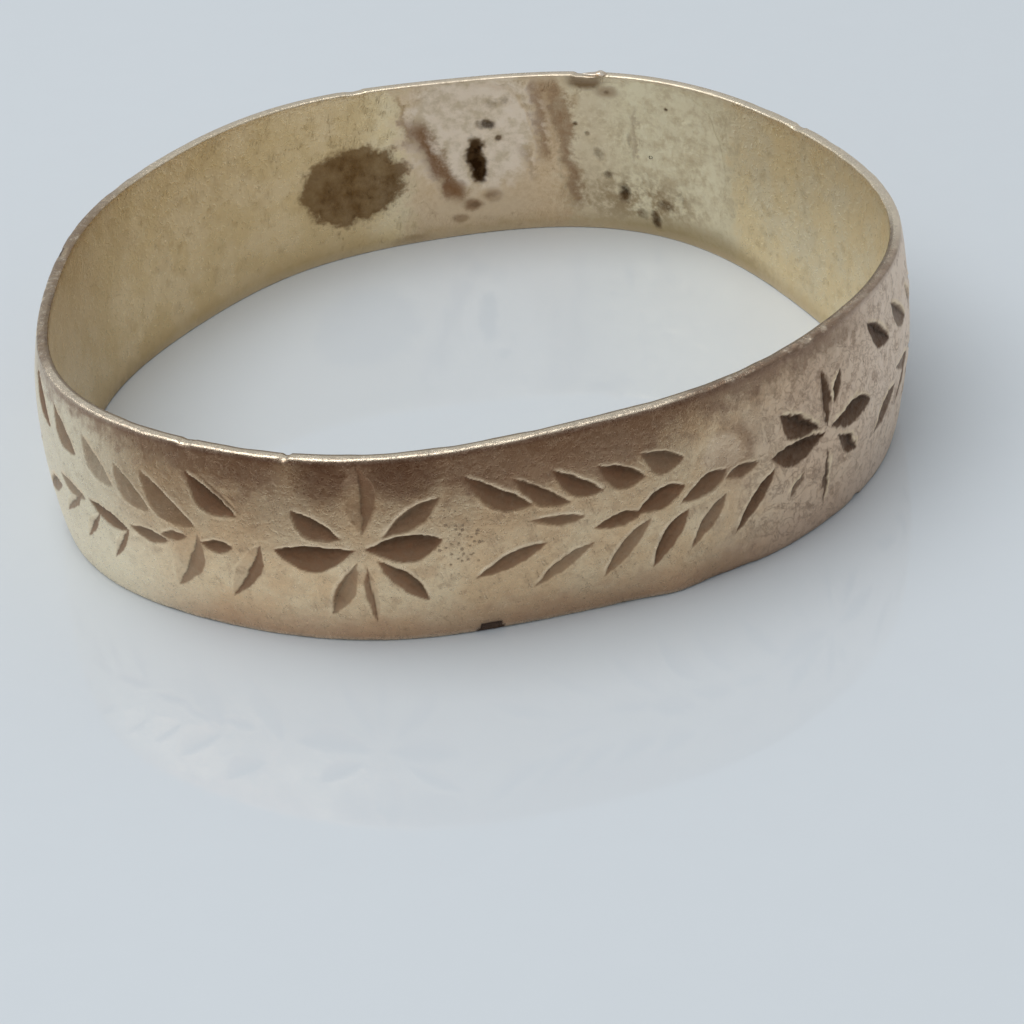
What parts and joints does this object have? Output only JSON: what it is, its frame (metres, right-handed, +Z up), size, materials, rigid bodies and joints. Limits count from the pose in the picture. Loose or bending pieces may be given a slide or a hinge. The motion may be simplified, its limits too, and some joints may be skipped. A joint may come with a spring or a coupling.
{
  "type": "wedding band",
  "caption": "Thin crowned gold wedding band with hand-engraved stars and leaf sprays, worn out of round, with a let-in sizing piece soldered in at the back.",
  "frame": {"origin": "under the middle of the ring's bounding box, on the plane of the bottom rim that it stands on", "axes": "+Z up along the finger's axis, -Y towards the front of the ring, +Y towards the solder joints at the back"},
  "size_m": [0.0202, 0.0198, 0.0049],
  "materials": {
    "rose_gold": "worn satin with fine scratches",
    "pale_gold": "worn satin",
    "coppery_solder": "dull, oxidised",
    "pink_solder": "dull, uneven",
    "granular_solder": "granular and pitted",
    "bright_solder": "bright bead"
  },
  "bodies": {
    "root": {"band": "rose_gold", "sizing_piece": "pale_gold", "joint_solder_left": "coppery_solder", "joint_solder_right": "coppery_solder", "solder_flood_left": "pink_solder", "solder_flood_right": "granular_solder", "rim_bead": "bright_solder"}
  },
  "joints": []
}
